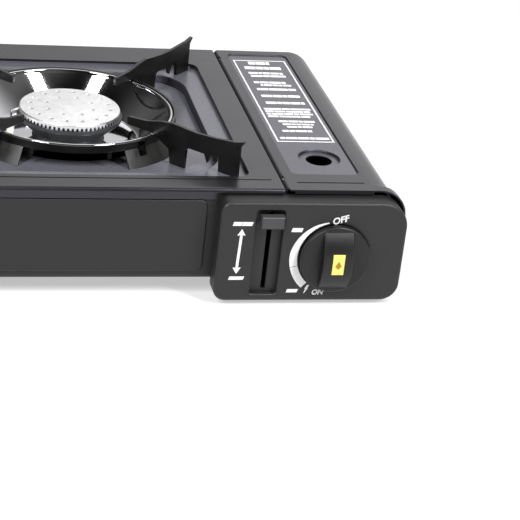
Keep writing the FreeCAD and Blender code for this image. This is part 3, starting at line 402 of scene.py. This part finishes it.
turned = np.stack([r * np.cos(a) + BURNER_X, r * np.sin(a) + BURNER_Y, z], axis=-1) / 1000
bowl = grid_mesh("spun_reflector_bowl", turned, closed_u=True, closed_v=True)
bowl.data.shade_smooth()
bowl.data.set_sharp_from_angle(angle=math.radians(35))
bowl.data.materials.append(bowl_steel)
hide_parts("reflector_bowl")
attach(bowl, "stove")

# Burner cap: a pressed steel crown with ports round its edge, plated nearly white and pressed with
# two rings of small dimples that stiffen it.
cap_steel, tree, shader = coated("bright_nickel_plated_steel", "#fafafa", 0.3, Metallic=1.0)
spot = mottle(tree, shader, "#ffffff", "#f2f2f2", 6, (0.26, 0.4))
place, away = from_burner(tree, spot)
part = add_node(tree, "ShaderNodeSeparateXYZ", {}, {"Vector": place})
angle = add_node(tree, "ShaderNodeMath", {"operation": "ARCTAN2"},
                 {"Value": part.outputs["Y"], "Value_001": part.outputs["X"]})
# Dimples in two rings: how many, on which radius, and the radius of one, in metres
DIMPLES, DIMPLE_DEPTH = ((16, 0.0275, 0.0018), (8, 0.0165, 0.0016)), 0.0006
dents = []
for count, radius, size in DIMPLES:
    # Distance from the nearest of count points spaced evenly on a ring of that radius
    share = add_node(tree, "ShaderNodeMath", {"operation": "MULTIPLY"},
                     {"Value": angle.outputs[0], "Value_001": count / (2 * math.pi)})
    cell = add_node(tree, "ShaderNodeMath", {"operation": "FRACT"}, {"Value": share.outputs[0]})
    offset = add_node(tree, "ShaderNodeMath", {"operation": "SUBTRACT"},
                      {"Value": cell.outputs[0], "Value_001": 0.5})
    along = add_node(tree, "ShaderNodeMath", {"operation": "MULTIPLY"},
                     {"Value": offset.outputs[0], "Value_001": 2 * math.pi * radius / count})
    out = add_node(tree, "ShaderNodeMath", {"operation": "SUBTRACT"},
                   {"Value": away, "Value_001": radius})
    both = add_node(tree, "ShaderNodeCombineXYZ", {},
                    {"X": along.outputs[0], "Y": out.outputs[0]})
    near = add_node(tree, "ShaderNodeVectorMath", {"operation": "LENGTH"},
                    {"Vector": both.outputs[0]})
    dents.append(add_node(tree, "ShaderNodeMapRange", {"interpolation_type": "SMOOTHSTEP"},
                          {"Value": near.outputs["Value"], "From Min": 0, "From Max": size,
                           "To Min": 0, "To Max": 1}))
press = add_node(tree, "ShaderNodeMath", {"operation": "MULTIPLY"},
                 {"Value": dents[0].outputs[0], "Value_001": dents[1].outputs[0]})
bump = add_node(tree, "ShaderNodeBump", {}, {"Height": press.outputs[0], "Strength": 1.0,
                                             "Distance": DIMPLE_DEPTH})
tree.links.new(bump.outputs[0], shader.inputs["Normal"])
# Painted shade in the ports, standing in for the depth of the slots: dark in the middle 47 percent
# of each port's share of the turn, below the height of the shoulder and outside the radius of the
# flat top, both in metres
PORTS, HALF_PORT, SHOULDER, RIM = 70, 0.235, 0.0797, 0.0312
share = add_node(tree, "ShaderNodeMath", {"operation": "MULTIPLY"},
                 {"Value": angle.outputs[0], "Value_001": PORTS / (2 * math.pi)})
share = add_node(tree, "ShaderNodeMath", {"operation": "ADD"},
                 {"Value": share.outputs[0], "Value_001": 0.5})
cell = add_node(tree, "ShaderNodeMath", {"operation": "FRACT"}, {"Value": share.outputs[0]})
port = add_node(tree, "ShaderNodeMath", {"operation": "COMPARE"},
                {"Value": cell.outputs[0], "Value_001": 0.5, "Value_002": HALF_PORT})
foot = add_node(tree, "ShaderNodeMath", {"operation": "LESS_THAN"},
                {"Value": part.outputs["Z"], "Value_001": SHOULDER})
rim = add_node(tree, "ShaderNodeMath", {"operation": "GREATER_THAN"},
               {"Value": away, "Value_001": RIM})
port_shade = add_node(tree, "ShaderNodeMath", {"operation": "MULTIPLY"},
                 {"Value": port.outputs[0], "Value_001": foot.outputs[0]})
port_shade = add_node(tree, "ShaderNodeMath", {"operation": "MULTIPLY"},
                 {"Value": port_shade.outputs[0], "Value_001": rim.outputs[0]})
# Painted shade: the port faces of the plating turn near black
unshaded_plating = shader.inputs["Base Color"].links[0].from_socket
plate = add_node(tree, "ShaderNodeMix", {"data_type": "RGBA"},
                 {"Factor_Float": port_shade.outputs[0], "A_Color": unshaded_plating, "B_Color": linear("#0b0a09")})
tree.links.new(plate.outputs[2], shader.inputs["Base Color"])
finish(cap_steel, "burner_cap")

# Pan support: a ring and four plates of sheet steel welded together and dipped in black enamel,
# glossy on the flats with a coarser skin at the cut edges.
black = surface("black_vitreous_enamel", "#0c0c0b", 0.3, "#12120f", "#080808", patch=12,
                rough=(0.26, 0.42), grit=1.1, depth=0.03, IOR=1.45, Coat_Weight=0.15,
                Coat_Roughness=0.2)
finish(black, "pan_support_ring", "pan_arm_front_right", "pan_arm_rear_right", "pan_arm_rear_left",
       "pan_arm_front_left")

# Locking lever: a pressed steel plate whose bent tab stands in the trough of the panel, sprayed in
# a lighter grey than the moulding round it.
lever_paint = surface("sprayed_grey_lever_paint", "#38383a", 0.35, "#404042", "#323234", patch=8,
                      rough=(0.3, 0.45), grit=0.8, depth=0.02, IOR=1.5)
finish(lever_paint, "lock_lever")

# Control panel: an injection moulding in charcoal ABS with a fine spark-eroded texture, rounded
# edges, the lever trough and the shallow round recess of the knob.
abs_plastic = surface("textured_charcoal_abs", "#181819", 0.5, "#1c1c1d", "#141415", patch=35,
                      rough=(0.46, 0.56), grit=0.45, depth=0.03, IOR=1.5)
finish(abs_plastic, "control_panel")

# Marks on the panel: pad-printed white ink, 0.1 mm proud of the moulding: a double-headed arrow
# beside the slot, a crescent that widens round the knob, the two switch words and plain bars.
PANEL_FACE, INK = -0.132, 0.0001
ink = surface("pad_printed_white_ink", "#efefef", 0.55, "#f4f4f4", "#e2e2e2", patch=3,
              rough=(0.5, 0.62), grit=0.3, depth=0.01, IOR=1.5)


def outward(made):
    """Merge doubled points and turn every face outward."""
    shape = bmesh.new()
    shape.from_mesh(made.data)
    bmesh.ops.remove_doubles(shape, verts=shape.verts, dist=1e-7)
    bmesh.ops.recalc_face_normals(shape, faces=shape.faces)
    shape.to_mesh(made.data)
    shape.free()


def printed(name, strips, normal, thick, material, body):
    """One piece from strips, each a pair of edge lines (n, 3): face points lie on both lines, and
    the back is the same grid moved back along the normal, joined round the rim."""
    points, faces = [], []
    count = 0
    for first, second in strips:
        first, second = np.asarray(first, float), np.asarray(second, float)
        back = np.asarray(normal, float) * thick
        loop = np.stack([first, second, second - back, first - back], axis=1)
        rows = len(first)
        u, v = (item.ravel() for item in np.meshgrid(np.arange(rows - 1), np.arange(4),
                                                     indexing="ij"))
        v_next = (v + 1) % 4
        sides = np.stack([u * 4 + v, (u + 1) * 4 + v, (u + 1) * 4 + v_next, u * 4 + v_next], axis=1)
        last = (rows - 1) * 4
        ends = np.array([[0, 1, 2, 3], [last + 3, last + 2, last + 1, last]])
        points.append(loop.reshape(-1, 3))
        faces.append(np.vstack([sides, ends]) + count)
        count += rows * 4
    mesh = bpy.data.meshes.new(name)
    mesh.from_pydata(np.vstack(points).tolist(), [], np.vstack(faces).tolist())
    made = bpy.data.objects.new(name, mesh)
    bpy.context.scene.collection.objects.link(made)
    outward(made)
    made.data.materials.append(material)
    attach(made, body)


def on_panel(outline):
    """Points (x, z) in mm on the face of the control panel, in metres."""
    flat = np.asarray(outline, float) / 1000
    return np.stack([flat[:, 0], np.full(len(flat), PANEL_FACE - INK), flat[:, 1]], axis=1)


BAR_LEAN = 0.8


def panel_bar(left, low, right, high):
    """Strip between the two edges of a bar, whose top stands BAR_LEAN further right."""
    return (on_panel([(left, low), (left + BAR_LEAN, high)]),
            on_panel([(right, low), (right + BAR_LEAN, high)]))


# Arrow: a shaft 1.8 mm wide, leaning a little, runs 0.4 mm into two heads 5.4 mm wide, whose tips
# are cut off at 0.1 mm
LOW_TIP, HIGH_TIP, HEAD = np.array([56.8, 23.2]), np.array([57.7, 55.0]), 4.4
HALF_SHAFT, HALF_HEAD, HALF_TIP, LAP = 0.9, 2.7, 0.05, 0.4
arrow = [tuple(on_panel([LOW_TIP + (edge, HEAD - LAP), HIGH_TIP + (edge, LAP - HEAD)])
               for edge in (-HALF_SHAFT, HALF_SHAFT))]
for tip, way in ((HIGH_TIP, -1), (LOW_TIP, 1)):
    arrow.append((on_panel([tip + (-HALF_HEAD, way * HEAD), tip + (-HALF_TIP, 0)]),
                  on_panel([tip + (HALF_HEAD, way * HEAD), tip + (HALF_TIP, 0)])))
# Crescent: its outer radius grows with the angle t up to 174 degrees, and a fine line parts it
KNOB_X, KNOB_Z, CRESCENT_INNER, TOP_ANGLE = 121.2, 35.2, 24.9, 104


def crescent(start, end):
    """Edges at 24.9 mm and at 25.5 + 4.5 ((t - 104) / 70) to the power 0.9 mm from the axis."""
    t = np.linspace(start, end, 40)
    a = np.radians(t)
    outer = 25.5 + 4.5 * np.clip((t - TOP_ANGLE) / 70, 0, 1) ** 0.9
    return [on_panel(np.stack([KNOB_X + radius * np.cos(a), KNOB_Z + radius * np.sin(a)], axis=1))
            for radius in (CRESCENT_INNER, outer)]


# Two bars above the arrow, one below it, one at each end of the crescent
bars = [panel_bar(51.2, 57.4, 57.0, 60.1), panel_bar(57.3, 57.4, 64.0, 60.1),
        panel_bar(51.9, 18.7, 61.7, 21.1), panel_bar(90.2, 53.2, 97.3, 56.0),
        panel_bar(91.4, 9.4, 98.8, 11.8)]
# Spark sign: two slanted halves
bolt = [(on_panel([(103.7, 11.9), (105.2, 14.7)]), on_panel([(105.3, 11.6), (106.7, 14.7)])),
        (on_panel([(103.4, 8.8), (104.5, 12.2)]), on_panel([(103.7, 8.8), (106.1, 12.2)]))]
printed("panel_marks", [*arrow, crescent(TOP_ANGLE, 194.2), crescent(194.9, 228), *bars, *bolt],
        (0, -1, 0), INK, ink, "stove")

# Switch words: middle of the base line (x, z) and size in mm, and the angle that each rises at.
# They are a nearly flat film, half an ink's thickness off the panel
SLANT, BOLD, HALF_FILM = 0.2, 0.0002, INK / 2000
for word, place, size, rise in (("OFF", (122.6, 59.9), 6.2, 15), ("ON", (112.7, 7.9), 4.9, 0)):
    lettering = bpy.data.curves.new("switch_word", "FONT")
    lettering.body = word
    lettering.size = size / 1000
    lettering.shear = SLANT
    lettering.align_x = "CENTER"
    lettering.extrude = HALF_FILM
    lettering.offset = BOLD
    drawn_word = bpy.data.objects.new("lettering", lettering)
    bpy.context.scene.collection.objects.link(drawn_word)
    bpy.context.view_layer.update()
    mesh = bpy.data.meshes.new_from_object(drawn_word)
    bpy.data.objects.remove(drawn_word)
    stand = Matrix.Translation((place[0] / 1000, PANEL_FACE - INK / 2, place[1] / 1000))
    mesh.transform(stand @ Matrix.Rotation(math.pi / 2, 4, "X")
                   @ Matrix.Rotation(math.radians(rise), 4, "Z"))
    made = bpy.data.objects.new(f"switch_word_{word.lower()}", mesh)
    bpy.context.scene.collection.objects.link(made)
    mesh.materials.clear()
    mesh.materials.append(ink)
    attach(made, "stove")

# Knob: moulded in black ABS, a disc with an arched grip bar, pushed on the valve's spindle. A
# yellow marker of glossy polystyrene is set into the bar.
knob_plastic = surface("moulded_black_abs", "#111112", 0.42, "#151516", "#0d0d0e", patch=20,
                       rough=(0.38, 0.48), grit=0.4, depth=0.02, IOR=1.43)
finish(knob_plastic, "knob")
yellow = surface("gloss_yellow_polystyrene", "#ecdf72", 0.3, "#f0e47e", "#e6d662", patch=4,
                 rough=(0.26, 0.36), grit=0.6, depth=0.01, IOR=1.59)
finish(yellow, "knob_marker")
# A plain pointer in amber ink on the marker, in one thin coat
THIN_INK = 0.00003
amber = surface("pad_printed_amber_ink", "#a67c12", 0.5, "#ad8419", "#98720f", patch=2,
                rough=(0.45, 0.55), grit=0.3, depth=0.01, IOR=1.5)
low, high = (np.array(corner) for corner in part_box("knob_marker"))
middle = (low + high) / 2
# Half width and height of the pointer's corners from the marker's middle, in mm
half = np.array([[0.2, 2.4], [2.3, -1.4], [1.0, -1.6], [1.0, -2.8]]) / 1000
pointer = [np.stack([middle[0] + way * half[:, 0], np.full(len(half), low[1] - THIN_INK),
                     middle[2] + half[:, 1]], axis=1) for way in (-1, 1)]
printed("marker_pointer", [pointer], (0, -1, 0), THIN_INK, amber, "dial")

# Canister lid: one pressed sheet in the glossy enamel, whose left edge is curled round two steel
# pins, with a sunk panel, a finger dish and a front end flared over the control panel.
# Its flat faces in the sunk panel are drawn paler and speckled, partly a speckled finish and partly
# painted light for the panel's brighter reflection
lid_enamel = paler_where_sunk("baked_graphite_enamel_on_lid", (97, -93.5, 74), (142.5, 134, 76.8),
                           ("#34343a", "#54545c"))
finish(lid_enamel, "canister_lid")

# Panel on the lid: a printed frame round rows of plain white bars, in the same ink, on the flat
# face of the sunk panel.
LID_FACE = 0.0763


def on_lid(outline):
    """Points (x, y) in mm on the sunk face of the lid, in metres."""
    flat = np.asarray(outline, float) / 1000
    return np.stack([flat[:, 0], flat[:, 1], np.full(len(flat), LID_FACE + INK)], axis=1)


def lid_bar(left, low, right, high):
    """Strip between the left and right edges of a bar."""
    return (on_lid([(left, low), (left, high)]), on_lid([(right, low), (right, high)]))


FRAME_LEFT, FRAME_RIGHT, FRAME_FRONT, FRAME_BACK, LINE = 99.4, 140.2, -37.0, 123.4, 1.1
rows = [lid_bar(FRAME_LEFT, FRAME_FRONT, FRAME_RIGHT, FRAME_FRONT + LINE),
        lid_bar(FRAME_LEFT, FRAME_BACK - LINE, FRAME_RIGHT, FRAME_BACK),
        lid_bar(FRAME_LEFT, FRAME_FRONT + LINE, FRAME_LEFT + LINE, FRAME_BACK - LINE),
        lid_bar(FRAME_RIGHT - LINE, FRAME_FRONT + LINE, FRAME_RIGHT, FRAME_BACK - LINE)]
# Rows: middle line y, left end, right end and height in mm, and what a bar is given of them: it
# ends GAP short on each side, and reaches SPREAD times the height up and down
ROWS = ((117.5, 110, 127, 4.4), (107, 105, 134, 4.2), (96, 106, 133, 2.8), (90, 106.5, 134, 2.8),
        (76.5, 106, 131, 2.8), (71, 110, 134, 2.4), (62.5, 105.5, 135.5, 3.0),
        (49, 106, 135.5, 3.2), (35.5, 106.5, 136, 3.2), (23.5, 102.5, 137.5, 2.2),
        (18.8, 102.5, 136, 2.2), (14.1, 102.5, 137, 2.2), (9.4, 102.5, 134, 2.2),
        (0.2, 108, 135, 2.4), (-5.2, 110, 133, 2.0), (-10, 112, 131, 2.0), (-17.5, 107, 129, 2.4),
        (-30.5, 102.5, 138, 2.6))
GAP, SPREAD = 0.3, 0.65
for row, (y, left, right, tall) in enumerate(ROWS):
    # Each row is split into plain bars: a bar's share of the row swings with the sine of its place
    pieces = 3 + row % 3
    shares = 1 + 0.45 * np.sin(2.3 * np.arange(pieces) + row)
    ends = left + (right - left) * np.concatenate([[0], np.cumsum(shares) / shares.sum()])
    rows += [lid_bar(a + GAP, y - SPREAD * tall, b - GAP, y + SPREAD * tall)
             for a, b in zip(ends, ends[1:])]
printed("lid_marks", rows, (0, 0, 1), INK, ink, "lid")
